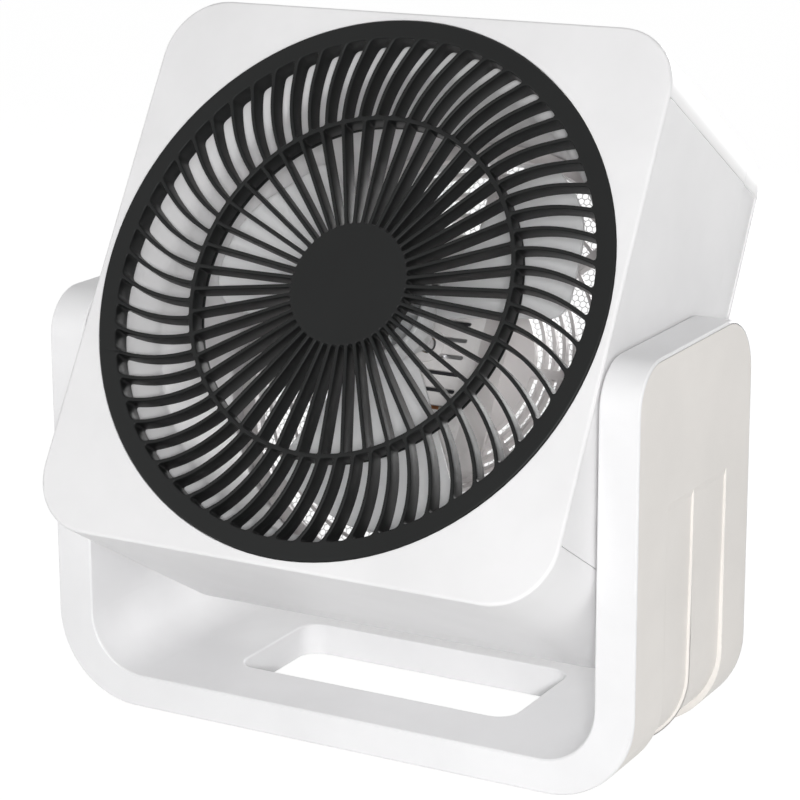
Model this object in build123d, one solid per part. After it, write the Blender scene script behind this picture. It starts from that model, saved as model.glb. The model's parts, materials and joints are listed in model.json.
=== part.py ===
from build123d import *
import math
import os

# Air circulator fan: a square fan head that tilts in a U-shaped stand.
#
# The stand is drawn with X across, Y from its front face to the back and Z up from its underside.
# The head is drawn upright by itself: X across, Z up from the middle of its face and Y the depth
# behind the face. It is then leaned back about its pivots and set between the stand's arms.
# All sizes are in millimetres.

# ---- head housing: the sizes that the rest follows -------------------------------------
head_w = 286.4  # width of the head
head_h = 287.0  # height of the head, upright
head_d = 139.0  # depth of the head
head_corner_r = 32.0
head_wall = 2.5
face_t = 3.0  # thickness of the face
face_edge_r = 1.6
rear_edge_r = 5.0  # rounding of the rear edge
rear_cover_d = 25.0  # depth of the rear cover
rear_flat_in = 1.0  # how far the rear cover's sides lie behind the side panels
panel_t = 2.0  # side panels
panel_margin = 1.5  # end of a panel to the start of the round corner
panel_front = 2.0  # front edge of a panel behind the face
panel_corner_r = 1.2
post_inset = 9.6  # screw posts, from the inside of the side walls
post_drop = 55.5  # screw posts, from the head's top and bottom
post_r = 5.0
post_bore = 16.0  # depth of the screw holes in the posts
counterbore = 7.0  # depth of the rear screws' holes

# ---- front grille ----------------------------------------------------------------------
face_border = 4.0  # narrowest strip of face beside the grille
rim_w = 9.7  # flat rim of the grille
rim_t = 3.6
rim_proud = 0.8  # rim in front of the face
rim_edge = 0.7  # bevel of the rim
skirt_t = 2.0  # wall behind the rim's inner edge
fin_depth = 10.0  # depth of spokes and vanes, front to back
fin_t = 2.0  # thickness of spokes and vanes
fin_back = 0.4  # front edges of the fins behind the face
ring_r = 88.3  # outside of the middle ring
ring_t = 2.4
ring_depth = 13.0  # middle ring, front to back
ring_step = 0.2  # step on each side where the middle ring goes on behind the fins
hub_r = 31.6
hub_wall = 2.0
spoke_count = 45
vane_count = 60
vane_bend_r = 80.0  # radius of a vane's curve
vane_start_deg = 6.0  # lean of a vane where it leaves the ring
gap_end = 1.6  # corners cut off the gaps at the rim
hook_count = 6  # snap hooks behind the rim
hook_w = 10.0
hook_reach = 1.0
hook_l = 2.0

# ---- air duct --------------------------------------------------------------------------
duct_step = 8.5  # how much narrower the throat is than the rim
duct_wall = 2.0
duct_flare = 32.0  # depth at which the flared mouth ends
duct_end_in = 6.0  # end of the duct in front of the rear cover's seam
collar_lap = 5.0  # overlap of the rear cover's collar and the duct

# ---- stand -----------------------------------------------------------------------------
stand_d = 137.0  # depth of arms and base, front to back
side_gap = 1.0  # between the head and an arm
arm_t = 20.8  # thickness of an arm, with its cover
base_t = 17.3  # thickness of the base, with its cover
sweep_gap = 11.9  # between the base and the corners of the swinging head
arm_over_pivot = 22.5  # top of the arms above the tilt axis
stand_corner_r = 46.0  # outer lower corners
stand_inner_r = 29.5  # inner lower corners
arm_front_r = 23.0  # front corner of an arm's top, seen from the side
arm_rear_r = 31.5  # rear corner of an arm's top
cover_t = 2.8  # outer cover that wraps the U
cover_lip = 1.5  # edge of the frame that shows round the cover
frame_wall = 2.4  # walls of the inner U frame
frame_edge = 0.8  # bevel of the frame's inner front edge
frame_edge_r = 1.2  # rounding of the frame's outer edges
handle_w = 160.0  # carrying slot through the base, across
handle_d = 73.5  # carrying slot, front to back
handle_front = 38.2  # front edge of the slot behind the stand's front face
handle_r = 11.0  # corners of the slot
handle_edge_r = 1.0
sleeve_wall = 2.2  # wall round the slot
scoop_depth = 5.0  # finger scoops round the lower corners
scoop_start = 34.0  # front edge of the first scoop
scoop_ridge = 66.0  # ridge between the two scoops
scoop_rear = 30.5  # plain strip behind the second scoop
scoop_top = 142.0  # height at which the scoops run out
scoop_step = 4.0  # height of the step at the scoops' top
scoop_lip = 1.2  # depth under that step
scoop_low = 2.2  # depth where the round corner starts
scoop_foot = 22.0  # run-out under the base, inwards from the round corner
scoop_soft_r = 2.0  # soft front edge of each scoop
rib_t = 1.8  # stiffening ribs
rib_pitch = 38.0  # spacing of the ribs in an arm
rib_reach = 9.5  # how far the ribs stand out from the inner wall
foot_r = 9.0  # rubber feet
foot_proud = 1.5  # how far they stand below the shell
foot_sink = 1.2  # how deep they sit in the cover
foot_inset = 20.0  # feet in from the front and the back
foot_gap = 1.3  # between a foot and the wall round the slot
base_screw_out = 19.5  # screws under the base, outwards from the feet

# ---- pivots ----------------------------------------------------------------------------
pivot_y = 88.5  # tilt axis behind the stand's front face
pivot_depth = 80.0  # tilt axis behind the face of the head
head_tilt = 30.75  # how far the head leans back at rest, degrees
pin_r = 6.0  # shoulder pin in each arm
pin_head_r = 10.0
pin_head_t = 3.5
pin_boss_r = 14.0  # boss that carries the pin inside the arm
pin_cover = 1.6  # between the pin's head and the stand's cover
pin_tip = 1.6  # end of the pin beyond its retaining ring
groove_depth = 1.0
hex_r = 3.5  # socket in the pin's head
hex_depth = 2.3
bush_wall = 2.0
bush_boss_wall = 3.45  # boss on the side panel, round the bush
bush_boss_l = 11.0  # length of that boss behind the panel
washer_r = 13.0  # friction washer between arm and head
clip_r = 9.0  # retaining ring at the tip of the pin
clip_t = 1.2

# ---- impeller --------------------------------------------------------------------------
tip_gap = 10.0  # blade tips to the duct
blade_count = 3
blade_span_deg = 58.0  # angle that one blade covers
blade_phase_deg = 34.0  # middle of the first blade at rest
blade_depth = 32.0  # trailing to leading edge at the hub, front to back
blade_tip_depth = 13.0  # the same at the tips
blade_back = 2.0  # leading edge in front of the hub's back
blade_t = 2.2
blade_camber = 5.0
blade_reach = 97.0  # the tip is cut straight at this distance, square to the trailing edge
blade_trail_r = 10.0  # rounding of the trailing tip corner
blade_shoulder_r = 50.0  # rounding between the straight cut and the tip
blade_lead_r = 18.0  # rounding of the leading tip corner
blade_root_in = 2.5  # how far a blade starts inside the boss
fan_hub_r = 27.0  # rim of the bowl-shaped hub
fan_hub_l = 45.0
fan_rim_l = 12.0  # straight part behind the rim
fan_bowl_l = 29.0  # part that tapers down to the boss
fan_bowl_swell = 1.5  # how far the taper bulges
fan_hub_wall = 2.4
fan_boss_r = 10.5
fan_rib_count = 6
shaft_r = 4.0
nut_r = 7.5
nut_t = 5.0
nut_seat = 6.0  # depth of the nut's recess

# ---- motor and its housing -------------------------------------------------------------
pod_gap = 18.0  # impeller's back to the motor housing
pod_w = 56.0  # front face of the motor housing
pod_h = 118.0
pod_d = 27.0
pod_wall = 2.0
pod_corner_r = 7.0
pod_edge = 1.6  # bevel of its front edge
pod_draft_deg = 6.0
pod_collar_r = 9.0  # collar round the shaft
pod_collar_l = 1.0
slot_count = 8  # vent slots, one above another
slot_pitch = 9.15
slot_w = 42.5
slot_h = 2.3
pod_screw_x_in = 8.3  # motor housing's screws, in from its sides
pod_screw_z_in = 9.5  # and in from its top and bottom
pod_post_r = 4.0
core_side_gap = 3.0  # laminated core to the housing's inside
core_top = 23.0
core_bottom = -38.0
core_in = 10.0  # front of the core behind the housing's front
core_t = 12.0
core_limb = 7.0  # limb that carries the coil
core_bolt_in = 4.5  # bolts, in from the core's sides
coil_w = 25.0
coil_build = 2.85
coil_window = 7.0
bobbin_t = 1.0
rotor_r = 14.8
rotor_ring_t = 1.2
air_gap = 0.4
bridge_t = 2.0  # bearing bridges in front of and behind the core
bridge_h = 15.0
bridge_gap = 1.6
bearing_r = 6.5
bearing_wall = 1.6
bearing_l = 5.0

# ---- rear guard and controls -----------------------------------------------------------
guard_t = 5.0
guard_seat = 8.5  # guard in front of the rear cover's inside
guard_floor = 1.6  # guard's plate behind the rear bearing
guard_hub_r = 48.0
guard_pitch = 5.5  # rings near the middle
guard_near_count = 4
guard_wide_pitch = 12.0  # rings further out
guard_wide_count = 3
guard_ring_t = 1.8
guard_spokes = 8
guard_spoke_t = 5.0
guard_flange_w = 5.5  # guard's flange, inwards from the duct's inside
guard_plate_margin = 1.2  # guard's plate round the foot of the motor housing
guard_screw_count = 4
guard_boss_r = 3.8
rear_open_in = 4.5  # rear opening, inwards from the duct's inside
control_inset = 33.2  # switch and inlet, in from the head's sides and underside
knob_r = 14.0
knob_h = 12.0
knob_gap = 0.6
knob_edge = 1.6
knob_flutes = 8
knob_flute_r = 2.4
knob_shaft_r = 3.0
knob_ridge_t = 2.4
switch_size = 24.0
switch_d = 13.0
switch_neck_r = 5.0
switch_neck_l = 2.5
lug_w = 3.2
lug_l = 3.5
inlet_w = 23.0
inlet_h = 15.0
inlet_d = 16.0
inlet_wall = 2.0
inlet_well = 11.0  # depth of the socket's well
inlet_flange = 2.5
inlet_pin_r = 1.15
inlet_pin_pitch = 8.6

# ---- screws and clearances -------------------------------------------------------------
screw_r = 1.5
screw_head_r = 2.8
screw_head_t = 1.8
screw_bite = 8.0  # length of a screw in its post
screw_gap = 0.15  # round a shank and a head
running_gap = 0.05  # radial gap of a pin or shaft in its bush
fit_gap = 0.02  # pieces pressed or keyed together
seat_gap = 0.1  # pieces that rest on each other
seam = 0.3  # visible seams and sleeves
bite = 0.3  # how far joined shapes run into each other
eps = 1.0  # overshoot of cutting shapes
far = 400.0  # longer than the whole part

# ---- derived places --------------------------------------------------------------------
head_half = head_w / 2
housing_d = head_d - rear_cover_d
panel_h = head_h - 2 * head_corner_r - 2 * panel_margin
side_in = head_half - panel_t - seat_gap - head_wall  # inside of the walls behind the panels
post_x = side_in - post_inset
post_z = head_h / 2 - post_drop
control_x = head_half - control_inset
control_z = -head_h / 2 + control_inset
rear_in = head_d - head_wall  # inside of the rear cover's back

rim_r = min(head_half, head_h / 2) - face_border
rim_inner_r = rim_r - rim_w
skirt_r = rim_inner_r + skirt_t
mouth_r = skirt_r + seam
duct_r = rim_inner_r - duct_step
duct_end = housing_d - duct_end_in
collar_r = duct_r + duct_wall + seam
ledge = rim_t - rim_proud + seat_gap  # depth of the grille's seat
mouth_end = fin_back + fin_depth + seam

guard_back = rear_in - guard_seat
guard_front = guard_back - guard_t
guard_r = collar_r - seam
guard_flange_r = duct_r - guard_flange_w
guard_screw_r = (guard_flange_r + guard_r) / 2
rear_open_r = duct_r - rear_open_in
pod_front = guard_front - pod_d
pod_flare = pod_d * math.tan(math.radians(pod_draft_deg))
pod_screw_x = pod_w / 2 - pod_screw_x_in
pod_screw_z = pod_h / 2 - pod_screw_z_in
core_w = pod_w - 2 * pod_wall - 2 * core_side_gap
core_front = pod_front + core_in
core_back = core_front + core_t
core_bolt_x = core_w / 2 - core_bolt_in
rear_boss_end = guard_back - guard_floor - seat_gap
shaft_end = rear_boss_end - seam

fan_hub_back = pod_front - pod_gap
fan_hub_front = fan_hub_back - fan_hub_l
blade_r = duct_r - tip_gap
blade_far = fan_hub_back - blade_back
blade_near = blade_far - blade_depth

inner_half = head_half + side_gap  # inner faces of the arms
half_w = inner_half + arm_t
frame_half = half_w - cover_t
pivot_z = base_t + math.hypot(pivot_depth, head_h / 2) + sweep_gap
arm_h = pivot_z + arm_over_pivot
handle_mid_y = handle_front + handle_d / 2
foot_x = handle_w / 2 + sleeve_wall + foot_gap + foot_r
foot_ys = (foot_inset, stand_d - foot_inset)
base_screw_x = foot_x + base_screw_out

bush_r = pin_r + running_gap + bush_wall
bush_boss_r = bush_r + bush_boss_wall
bush_end = head_half - panel_t - bush_boss_l
clip_x = bush_end - seam - clip_t
pin_end = clip_x - pin_tip
pin_head_x = frame_half - pin_cover - pin_head_t
groove_r = pin_r - groove_depth


# ---- helpers ---------------------------------------------------------------------------
def along_y(sketch, y0, y1):
    """Extrude a shape drawn in X and Z from depth y0 to depth y1."""
    plane = Plane((0, y0, 0), x_dir=(1, 0, 0), z_dir=(0, -1, 0))
    return extrude(plane * sketch, amount=y0 - y1)


def along_x(sketch, x0, x1):
    """Extrude a shape drawn in Y and Z from x0 to x1."""
    plane = Plane((x0, 0, 0), x_dir=(0, 1, 0), z_dir=(1, 0, 0))
    return extrude(plane * sketch, amount=x1 - x0)


def along_z(sketch, z0, z1):
    """Extrude a shape drawn in X and Y from z0 to z1."""
    return extrude(Plane((0, 0, z0)) * sketch, amount=z1 - z0)


def disc_y(radius, y0, y1, x=0.0, z=0.0):
    return along_y(Pos(x, z) * Circle(radius), y0, y1)


def disc_x(radius, x0, x1, y=0.0, z=0.0):
    return along_x(Pos(y, z) * Circle(radius), x0, x1)


def disc_z(radius, z0, z1, x=0.0, y=0.0):
    return along_z(Pos(x, y) * Circle(radius), z0, z1)


def ring_y(outer, inner, y0, y1):
    return along_y(Circle(outer) - Circle(inner), y0, y1)


def ring_x(outer, inner, x0, x1, y=0.0, z=0.0):
    return along_x(Pos(y, z) * (Circle(outer) - Circle(inner)), x0, x1)


def box(x0, x1, y0, y1, z0, z1):
    return Pos(x0, y0, z0) * Box(x1 - x0, y1 - y0, z1 - z0, align=(Align.MIN,) * 3)


def mirrored(part):
    return mirror(part, about=Plane.YZ)


def pair(part):
    """A shape on the right side and its mirror image on the left."""
    return part + mirrored(part)


def group(*pieces):
    """Separate pieces that share one node."""
    return Compound([solid for piece in pieces for solid in piece.solids()])


def polar(radius, degrees):
    angle = math.radians(degrees)
    return radius * math.cos(angle), radius * math.sin(angle)


def corners(x, z):
    """The four places (x, z) on both sides, above and below."""
    return [(sx * x, sz * z) for sx in (-1, 1) for sz in (-1, 1)]


def screw(length):
    """Screw whose head stands on Z = 0 and whose shank runs down."""
    head = disc_z(screw_head_r, 0, screw_head_t)
    return head + along_z(RegularPolygon(screw_r, 6), -length, bite)


def screws_forward(places, seat_y, length):
    """Screws driven from behind, with the undersides of their heads at depth seat_y."""
    return group(*[Pos(x, seat_y, z) * Rot(X=-90) * screw(length) for x, z in places])


def bore(part, places, radius, y0, y1):
    """Cut round holes along Y at several places."""
    return part - along_y(Sketch() + [Pos(x, z) * Circle(radius) for x, z in places], y0, y1)


def studs(places, radius, y0, y1):
    """Round posts along Y at several places."""
    return along_y(Sketch() + [Pos(x, z) * Circle(radius) for x, z in places], y0, y1)


# ---- stand -----------------------------------------------------------------------------
def u_area(half, bottom, corner):
    """Area inside a U line: straight sides, round lower corners, running up past the arms."""
    area = Pos(0, bottom) * Rectangle(2 * half, arm_h - bottom + eps, align=(Align.CENTER, Align.MIN))
    return fillet(area.vertices().group_by(Axis.Y)[0], corner)


def arm_side():
    """Side outline of the stand, with its rounded arm tops, drawn in Y and Z."""
    outline = Pos(0, -eps) * Rectangle(stand_d, arm_h + eps, align=(Align.MIN, Align.MIN))
    outline = fillet(outline.vertices().group_by(Axis.Y)[-1].sort_by(Axis.X)[0], arm_front_r)
    return fillet(outline.vertices().group_by(Axis.Y)[-1].sort_by(Axis.X)[-1], arm_rear_r)


def side_inset(inset):
    """Side outline of the stand, drawn in at the front, the back and the arm tops."""
    lower = Pos(inset, -eps) * Rectangle(stand_d - 2 * inset, pivot_z / 2, align=(Align.MIN, Align.MIN))
    return offset(arm_side(), -inset) + lower


def u_between(outer, inner, side):
    """Solid U between two U lines, each a half width, a bottom and a corner, in a side outline."""
    area = u_area(*outer) - u_area(*inner)
    return along_y(area, 0, stand_d) & along_x(side, -half_w, half_w)


def outer_line(depth):
    """U line at a depth under the outside of the stand."""
    return half_w - depth, depth, stand_corner_r - depth


def inner_line(depth):
    """U line at a depth under the inside of the stand."""
    return inner_half + depth, base_t - depth, stand_inner_r + depth


def scoop(y0, y1):
    """Finger scoop round the right lower corner, with a soft front edge."""
    high_x, low_x = half_w - scoop_lip, half_w - scoop_low
    centre = half_w - stand_corner_r
    middle = (stand_corner_r - (scoop_low + scoop_depth) / 2) * math.sqrt(0.5)
    foot = centre - scoop_foot
    outline = make_face(Wire([
        Line((half_w, scoop_top), (high_x, scoop_top - scoop_step)),
        Line((high_x, scoop_top - scoop_step), (low_x, stand_corner_r)),
        ThreePointArc(
            (low_x, stand_corner_r), (centre + middle, stand_corner_r - middle), (centre, scoop_depth)
        ),
        Line((centre, scoop_depth), (foot, 0)),
        Line((foot, 0), (foot, -eps)),
        Line((foot, -eps), (half_w + eps, -eps)),
        Line((half_w + eps, -eps), (half_w + eps, scoop_top)),
        Line((half_w + eps, scoop_top), (half_w, scoop_top)),
    ]))
    body = along_y(outline, y0, y1)
    front = body.faces().sort_by(Axis.Y)[0].edges()
    floor = [e for e in front if foot < e.center().X < half_w and e.center().Z > 0]
    return fillet(floor, scoop_soft_r)


def scoop_liner():
    """Inside of the wall behind the right scoops, as one solid to add to the cover."""
    grow = scoop_depth + cover_t
    low = u_area(half_w - grow, grow, stand_corner_r - grow)
    block = u_area(half_w, 0, stand_corner_r) - low
    foot = half_w - stand_corner_r - scoop_foot
    block &= make_face(Polyline(
        (half_w, scoop_top + cover_t), (half_w - cover_t - scoop_lip, scoop_top),
        (half_w - grow, stand_corner_r), (foot, stand_corner_r), (foot, 0), (half_w, 0), close=True,
    ))
    return along_y(block, scoop_start - cover_t, stand_d - scoop_rear + cover_t)


def handle_slot(grow, z0, z1):
    outline = RectangleRounded(handle_w + 2 * grow, handle_d + 2 * grow, handle_r + grow)
    return along_z(Pos(0, handle_mid_y) * outline, z0, z1)


def stand_ribs():
    """Ribs across the arms and beside the carrying slot."""
    x0 = inner_half + frame_wall - bite
    ribs = []
    z = stand_corner_r + rib_pitch / 2
    while z < arm_h - arm_rear_r:
        if abs(z - pivot_z) > pin_boss_r + rib_t:
            y0, y1 = frame_wall - bite, stand_d - frame_wall + bite
            ribs.append(box(x0, x0 + rib_reach, y0, y1, z, z + rib_t))
        z += rib_pitch
    x = foot_x - rib_t
    top = base_t - frame_wall + bite
    ribs.append(box(x, x + rib_t, frame_wall - bite, stand_d - frame_wall + bite, top - rib_reach, top))
    return ribs


def stand_frame():
    """U frame: a channel open to the cover, with ribs, the slot's wall and the pin bosses."""
    frame = u_between(outer_line(0.0), inner_line(0.0), arm_side())
    front = frame.edges().group_by(Axis.Y)[0]
    inner = [e for e in front if abs(e.center().X) < inner_half + eps and e.length > frame_wall]
    frame = chamfer(inner, frame_edge)
    lines = [e for e in frame.edges() if below_outside(e @ 0.5) < fit_gap]
    rims = [e for e in lines if abs((e % 0.5).Y) < 0.9 or (e @ 0.5).Z > arm_h - fit_gap]
    frame = fillet(rims, frame_edge_r)
    beyond = (half_w + eps, -eps, stand_corner_r + eps)
    frame -= u_between(beyond, outer_line(cover_t), side_inset(cover_lip))
    frame -= u_between(beyond, inner_line(frame_wall), side_inset(frame_wall))
    for rib in stand_ribs():
        frame += pair(rib)
    wall_x = inner_half + bite
    boss_x = frame_half - pin_cover
    frame += pair(disc_x(pin_boss_r, wall_x, boss_x, pivot_y, pivot_z))
    frame -= pair(disc_x(pin_r + fit_gap, inner_half - eps, boss_x + eps, pivot_y, pivot_z))
    frame -= pair(disc_x(pin_head_r + seam, pin_head_x, boss_x + eps, pivot_y, pivot_z))
    top = base_t - frame_wall + bite
    for y in foot_ys:
        post = disc_z(post_r, cover_t + seat_gap, top, base_screw_x, y)
        frame += pair(post)
        frame -= pair(disc_z(screw_r + fit_gap, 0, top - bite, base_screw_x, y))
    frame += handle_slot(sleeve_wall, seam, base_t - bite)
    frame -= handle_slot(0.0, -eps, base_t + eps)
    top = [e for e in frame.edges().filter_by_position(Axis.Z, base_t - fit_gap, base_t + fit_gap)
           if abs((e @ 0.5).X) < foot_x and frame_edge < (e @ 0.5).Y < stand_d - frame_wall]
    return fillet(top, handle_edge_r)


def below_outside(point):
    """Depth of a point under the outer surface of the stand."""
    dx = abs(point.X) - (half_w - stand_corner_r)
    dz = stand_corner_r - point.Z
    if dx > 0 and dz > 0:
        return stand_corner_r - math.hypot(dx, dz)
    return min(half_w - abs(point.X), point.Z)


def stand_cover():
    """Outer U plate set into the frame's edge, scooped round the lower corners."""
    plate = u_between(outer_line(0.0), outer_line(cover_t), side_inset(cover_lip + seam))
    plate += pair(scoop_liner())
    for cut in (scoop(scoop_start, scoop_ridge), scoop(scoop_ridge, stand_d - scoop_rear)):
        plate -= pair(cut)
    plate -= handle_slot(sleeve_wall + seam, -eps, cover_t + eps)
    for y in foot_ys:
        plate -= pair(disc_z(screw_r + screw_gap, 0, cover_t + eps, base_screw_x, y))
        plate -= pair(disc_z(screw_head_r + screw_gap, -eps, screw_head_t + seat_gap, base_screw_x, y))
        plate -= pair(disc_z(foot_r + seat_gap, -eps, foot_sink, foot_x, y))
    return plate


def rubber_feet():
    places = [(x, y) for x in (-foot_x, foot_x) for y in foot_ys]
    return group(*[disc_z(foot_r, -foot_proud, foot_sink - fit_gap, x, y) for x, y in places])


def base_screws():
    one = Pos(0, 0, screw_head_t + fit_gap) * Rot(X=180) * screw(screw_bite)
    return group(*[Pos(x, y, 0) * one for x in (-base_screw_x, base_screw_x) for y in foot_ys])


# ---- pivots, drawn on the right side about the tilt axis -----------------------------------
def pivot_pin():
    """Shoulder pin with a socket head and a groove for its retaining ring."""
    pin = disc_x(pin_r, pin_end, pin_head_x + bite)
    pin += disc_x(pin_head_r, pin_head_x + fit_gap, pin_head_x + pin_head_t)
    pin -= ring_x(pin_r + eps, groove_r, clip_x - fit_gap, clip_x + clip_t + fit_gap)
    socket = pin_head_x + pin_head_t
    return pin - along_x(RegularPolygon(hex_r, 6), socket - hex_depth, socket + eps)


def friction_washer():
    return ring_x(washer_r, pin_r + fit_gap, head_half + seat_gap, inner_half - fit_gap)


def retaining_ring():
    ring = ring_x(clip_r, groove_r + fit_gap, clip_x, clip_x + clip_t)
    return ring - box(clip_x - eps, clip_x + clip_t + eps, -pin_r / 2, pin_r / 2, 0, clip_r + eps)


def pivot_bush():
    return ring_x(bush_r - fit_gap, pin_r + running_gap, bush_end, head_half)


# ---- head: housing ---------------------------------------------------------------------
def head_outline(inset):
    return RectangleRounded(head_w - 2 * inset, head_h - 2 * inset, head_corner_r - inset)


def duct_inside():
    """Space inside the duct: a mouth behind the grille that curves in to a straight throat."""
    return revolve(make_face(Wire([
        Line((0, -eps), (mouth_r, -eps)),
        Line((mouth_r, -eps), (mouth_r, mouth_end)),
        Spline((mouth_r, mouth_end), (duct_r, duct_flare), tangents=((0, 1), (0, 1))),
        Line((duct_r, duct_flare), (duct_r, duct_end + eps)),
        Line((duct_r, duct_end + eps), (0, duct_end + eps)),
        Line((0, duct_end + eps), (0, -eps)),
    ])), Axis.Y)


def duct_outside():
    return revolve(make_face(Polyline(
        (0, face_t - bite), (mouth_r + duct_wall, face_t - bite), (mouth_r + duct_wall, mouth_end),
        (duct_r + duct_wall, duct_flare), (duct_r + duct_wall, duct_end), (0, duct_end), close=True,
    )), Axis.Y)


def front_housing():
    """Face, outer walls and flared air duct, moulded as one."""
    shell = along_y(head_outline(0.0), 0, housing_d)
    shell = fillet(shell.edges().group_by(Axis.Y)[0], face_edge_r)
    inside = along_y(head_outline(head_wall), face_t, housing_d + eps)
    edge = panel_h / 2 + seam
    inside -= pair(box(side_in, head_half, 0, housing_d + 2 * eps, -edge - head_wall, edge + head_wall))
    shell -= inside
    seat = disc_y(rim_r + seam + duct_wall, face_t - bite, ledge + duct_wall)
    shell += seat & along_y(head_outline(head_wall / 2), 0, housing_d)
    shell += duct_outside()
    shell += studs(corners(post_x, post_z), post_r, face_t - bite, housing_d)
    for z in (-post_z, post_z):
        shell += pair(box(post_x, side_in + bite, face_t - bite, housing_d, z - rib_t / 2, z + rib_t / 2))
    shell -= duct_inside()
    shell -= disc_y(rim_r + seam, -eps, ledge)
    shell = bore(shell, corners(post_x, post_z), screw_r + fit_gap, housing_d - post_bore, housing_d + eps)
    recess = box(head_half - panel_t - seat_gap, head_half + eps, panel_front, housing_d + eps, -edge, edge)
    recess += disc_x(bush_boss_r + seam, side_in - eps, head_half + eps, pivot_depth, 0)
    shell -= pair(recess)
    for turn in range(hook_count):
        shell -= Rot(Y=360 / hook_count * turn) * hook(seam, mouth_r - eps, mouth_r + duct_wall + eps)
    return shell


def hook(gap, r0, r1):
    """Snap hook of the grille, or its window in the duct's mouth when enlarged by a gap."""
    y1 = fin_back + fin_depth
    return box(-hook_w / 2 - gap, hook_w / 2 + gap, y1 - hook_l - gap, y1 + gap, r0, r1)


def side_panel():
    """Right side panel with the boss that holds the tilt bush."""
    width = housing_d - panel_front - seam
    middle = panel_front + seam + width / 2
    outline = Pos(middle, 0) * RectangleRounded(width, panel_h, panel_corner_r)
    plate = along_x(outline, head_half - panel_t, head_half)
    plate += disc_x(bush_boss_r, bush_end, head_half - panel_t + bite, pivot_depth, 0)
    return plate - disc_x(bush_r, bush_end - eps, head_half + eps, pivot_depth, 0)


def guard_screw_places():
    return [polar(guard_screw_r, 360 / guard_screw_count * (k + 0.5)) for k in range(guard_screw_count)]


def rear_cover():
    """Rear shell with a round back edge, the collar round the duct and the rear opening."""
    shell = along_y(head_outline(0.0), housing_d + seam, head_d)
    shell = fillet(shell.edges().group_by(Axis.Y)[-1], rear_edge_r)
    inside = along_y(head_outline(head_wall), housing_d - eps, rear_in)
    shell -= chamfer(inside.edges().group_by(Axis.Y)[-1], rear_edge_r - head_wall)
    shell += ring_y(collar_r + duct_wall, collar_r, duct_end - collar_lap, rear_in + bite)
    edge = panel_h / 2
    flat = box(head_half - rear_flat_in, head_half + eps, housing_d, head_d - rear_edge_r, -edge, edge)
    shell -= pair(flat)
    shell += studs(corners(post_x, post_z), post_r, housing_d + seat_gap, rear_in + bite)
    shell += studs(guard_screw_places(), guard_boss_r, guard_back + seat_gap, rear_in + bite)
    shell -= disc_y(rear_open_r, rear_in - eps, head_d + eps)
    shell = bore(shell, corners(post_x, post_z), screw_r + screw_gap, housing_d, head_d)
    head_hole = screw_head_r + screw_gap
    shell = bore(shell, corners(post_x, post_z), head_hole, head_d - counterbore, head_d + eps)
    shell = bore(shell, guard_screw_places(), screw_r + fit_gap, guard_back, head_d - face_edge_r)
    shell -= disc_y(knob_shaft_r + seam, rear_in - eps, head_d + eps, control_x, control_z)
    opening = RectangleRounded(inlet_w + 2 * seat_gap, inlet_h + 2 * seat_gap, inlet_h / 2)
    return shell - along_y(Pos(-control_x, control_z) * opening, rear_in - eps, head_d + eps)


def rear_screws():
    return screws_forward(corners(post_x, post_z), head_d - counterbore + fit_gap, head_d - housing_d)


# ---- front grille ----------------------------------------------------------------------
def circle_meet(centre, radius, r):
    """Point where a circle about centre meets the circle of radius r about the origin."""
    cx, cy = centre
    d = math.hypot(cx, cy)
    along = (d * d + r * r - radius * radius) / (2 * d)
    across = math.sqrt(r * r - along * along)
    return (along * cx - across * cy) / d, (along * cy + across * cx) / d


def rotated(point, degrees):
    radius, angle = math.hypot(*point), math.degrees(math.atan2(point[1], point[0]))
    return polar(radius, angle + degrees)


def arc_about(centre, p, q):
    """Short arc from p to q about a centre."""
    (cx, cy), r = centre, math.dist(centre, p)
    mx, my = (p[0] + q[0]) / 2 - cx, (p[1] + q[1]) / 2 - cy
    scale = r / math.hypot(mx, my)
    return ThreePointArc(p, (cx + mx * scale, cy + my * scale), q)


def outer_gap():
    """Gap between two neighbouring vanes, from the middle ring to the rim."""
    pitch = 360 / vane_count
    leave = polar(vane_bend_r, -vane_start_deg - 90)
    centre = (ring_r - ring_t / 2 + leave[0], leave[1])
    near, wide = vane_bend_r + fin_t / 2, vane_bend_r - fin_t / 2
    a = circle_meet(centre, near, ring_r)
    b = circle_meet(centre, near, rim_inner_r)
    c = rotated(circle_meet(centre, wide, rim_inner_r), pitch)
    d = rotated(circle_meet(centre, wide, ring_r), pitch)
    outline = make_face(Wire([
        arc_about(centre, a, b), arc_about((0, 0), b, c),
        arc_about(rotated(centre, pitch), c, d), arc_about((0, 0), d, a),
    ]))
    at_rim = [v for v in outline.vertices() if math.hypot(v.X, v.Y) > rim_inner_r - fin_t]
    return chamfer(at_rim, gap_end)


def inner_gap():
    """Gap between two neighbouring spokes, from the hub to the middle ring."""
    half = 180 / spoke_count
    r0, r1 = hub_r, ring_r - ring_t
    a = rotated((math.sqrt(r0 * r0 - fin_t * fin_t / 4), -fin_t / 2), half)
    b = rotated((math.sqrt(r1 * r1 - fin_t * fin_t / 4), -fin_t / 2), half)
    (ax, ay), (bx, by) = a, b
    return make_face(Wire([
        Line((ax, -ay), (bx, -by)), arc_about((0, 0), (bx, -by), (bx, by)),
        Line((bx, by), (ax, ay)), arc_about((0, 0), (ax, ay), (ax, -ay)),
    ]))


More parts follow.
